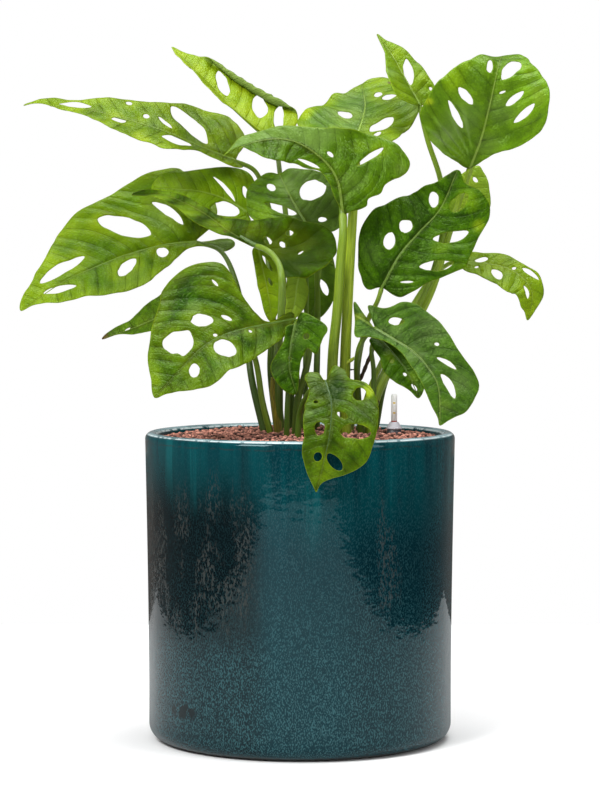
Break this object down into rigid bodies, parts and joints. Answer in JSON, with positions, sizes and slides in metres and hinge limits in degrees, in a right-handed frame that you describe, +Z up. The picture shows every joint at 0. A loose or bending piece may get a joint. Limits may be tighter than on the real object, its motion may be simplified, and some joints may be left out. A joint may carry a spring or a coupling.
{
  "type": "potted monstera obliqua",
  "caption": "Monstera obliqua with perforated leaves on slender stalks, in a glazed ceramic pot filled with clay granules, with a water gauge.",
  "frame": {"origin": "middle of the pot's flat underside", "axes": "+Z up, the plant's front faces -Y, +X to the viewer's right"},
  "size_m": [0.4761, 0.2928, 0.6413],
  "materials": {
    "pot_glaze": "gloss teal glaze, streaked and speckled",
    "clay_granules": "matt fired clay",
    "gauge_grey": "satin",
    "gauge_light": "satin",
    "gauge_clear": "clear with two yellow ticks",
    "gauge_red": "satin",
    "leaf_bright": "waxy yellow green leaf",
    "leaf_mid": "waxy mid green leaf",
    "leaf_deep": "waxy deep green leaf",
    "leaf_olive": "waxy olive leaf",
    "leaf_pale": "waxy pale green leaf",
    "root_bark": "dry root skin"
  },
  "bodies": {
    "root": {"pot": "pot_glaze", "granules": "clay_granules", "gauge_housing": "gauge_grey", "gauge_cap": "gauge_light", "gauge_sight_tube": "gauge_clear", "gauge_float": "gauge_red", "leaf_upper_left": "leaf_mid", "leaf_top_left": "leaf_bright", "leaf_left_large": "leaf_mid", "leaf_left_behind": "leaf_bright", "leaf_centre_olive": "leaf_olive", "leaf_centre_behind": "leaf_deep", "leaf_top_centre": "leaf_bright", "leaf_front_arching": "leaf_deep", "leaf_top_right": "leaf_bright", "leaf_upper_right": "leaf_deep", "leaf_right_large": "leaf_deep", "leaf_far_right": "leaf_bright", "leaf_right_behind": "leaf_pale", "leaf_lower_right": "leaf_deep", "leaf_lower_right_small": "leaf_bright", "leaf_over_rim": "leaf_mid", "leaf_lower_left": "leaf_mid", "leaf_far_left_small": "leaf_bright", "leaf_centre_low": "leaf_mid", "leaf_narrow": "leaf_bright", "leaf_pale_low": "leaf_pale", "leaf_dark_low": "leaf_deep", "aerial_root": "root_bark"}
  },
  "joints": []
}
